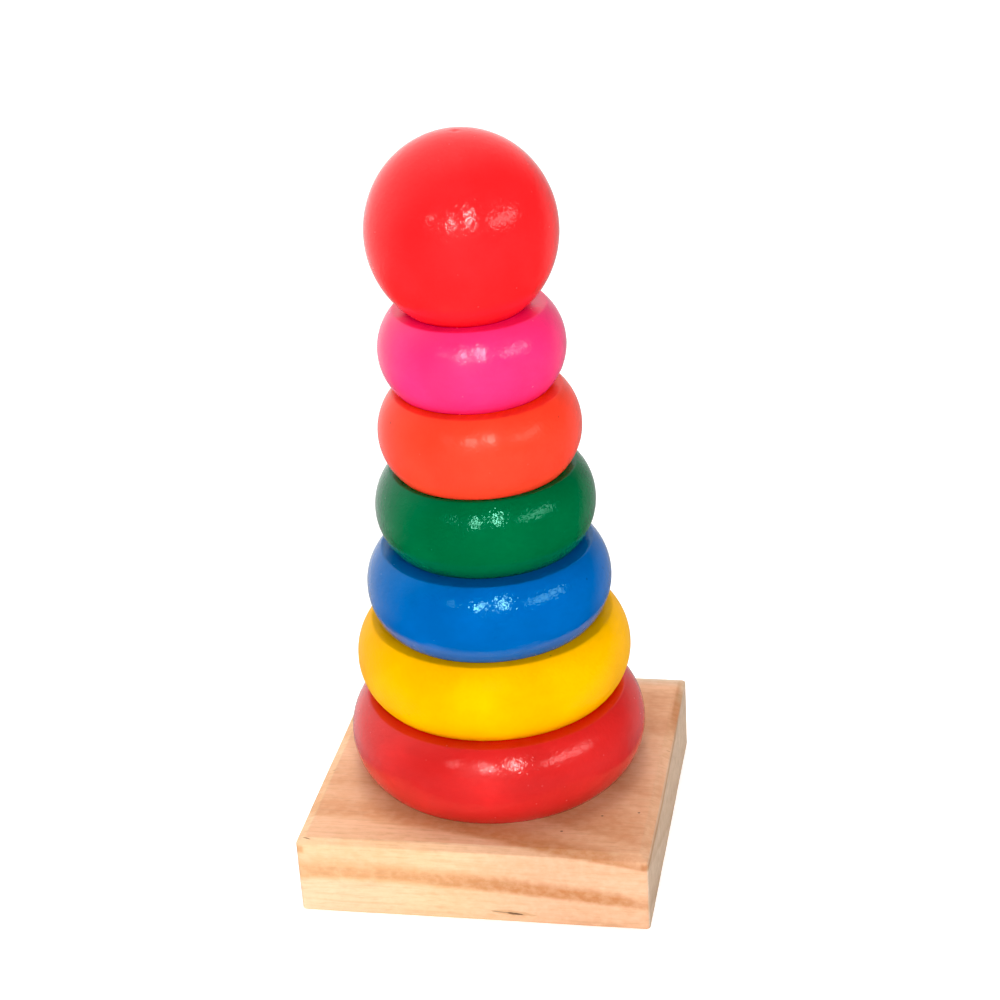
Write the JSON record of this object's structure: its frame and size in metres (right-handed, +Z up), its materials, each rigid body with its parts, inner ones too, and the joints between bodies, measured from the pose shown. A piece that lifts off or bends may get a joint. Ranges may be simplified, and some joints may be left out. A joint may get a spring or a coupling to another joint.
{
  "type": "stacking ring toy",
  "caption": "Square wooden block with an upright dowel, a tapering stack of loose painted rings on it, and a painted ball that caps the dowel.",
  "frame": {"origin": "centre of the underside of the square block", "axes": "+Z up along the dowel, X and Y along the sides of the block, -Y towards the front"},
  "size_m": [0.1, 0.1, 0.2144],
  "materials": {
    "pine_base": "sanded pine, thin clear satin coat",
    "dowel_wood": "bare sanded dowel",
    "dark_red_paint": "gloss paint on turned wood",
    "yellow_paint": "gloss paint on turned wood",
    "blue_paint": "gloss paint on turned wood",
    "green_paint": "gloss paint on turned wood",
    "orange_paint": "gloss paint on turned wood",
    "pink_paint": "gloss paint on turned wood",
    "red_paint": "gloss paint on turned wood"
  },
  "bodies": {
    "base": {"base": "pine_base", "post": "dowel_wood"},
    "ring_red": {"ring_red": "dark_red_paint"},
    "ring_yellow": {"ring_yellow": "yellow_paint"},
    "ring_blue": {"ring_blue": "blue_paint"},
    "ring_green": {"ring_green": "green_paint"},
    "ring_orange": {"ring_orange": "orange_paint"},
    "ring_pink": {"ring_pink": "pink_paint"},
    "ball": {"ball": "red_paint"}
  },
  "joints": [
    {"name": "ring_red_lift", "type": "slide", "parent": "base", "child": "ring_red", "axis": [0, 0, 1], "range_m": [0, 0.17]},
    {"name": "ring_yellow_lift", "type": "slide", "parent": "ring_red", "child": "ring_yellow", "axis": [0, 0, 1], "range_m": [0, 0.145]},
    {"name": "ring_blue_lift", "type": "slide", "parent": "ring_yellow", "child": "ring_blue", "axis": [0, 0, 1], "range_m": [0, 0.122]},
    {"name": "ring_green_lift", "type": "slide", "parent": "ring_blue", "child": "ring_green", "axis": [0, 0, 1], "range_m": [0, 0.098]},
    {"name": "ring_orange_lift", "type": "slide", "parent": "ring_green", "child": "ring_orange", "axis": [0, 0, 1], "range_m": [0, 0.075]},
    {"name": "ring_pink_lift", "type": "slide", "parent": "ring_orange", "child": "ring_pink", "axis": [0, 0, 1], "range_m": [0, 0.051]},
    {"name": "ball_lift", "type": "slide", "parent": "ring_pink", "child": "ball", "axis": [0, 0, 1], "range_m": [0, 0.03]}
  ]
}
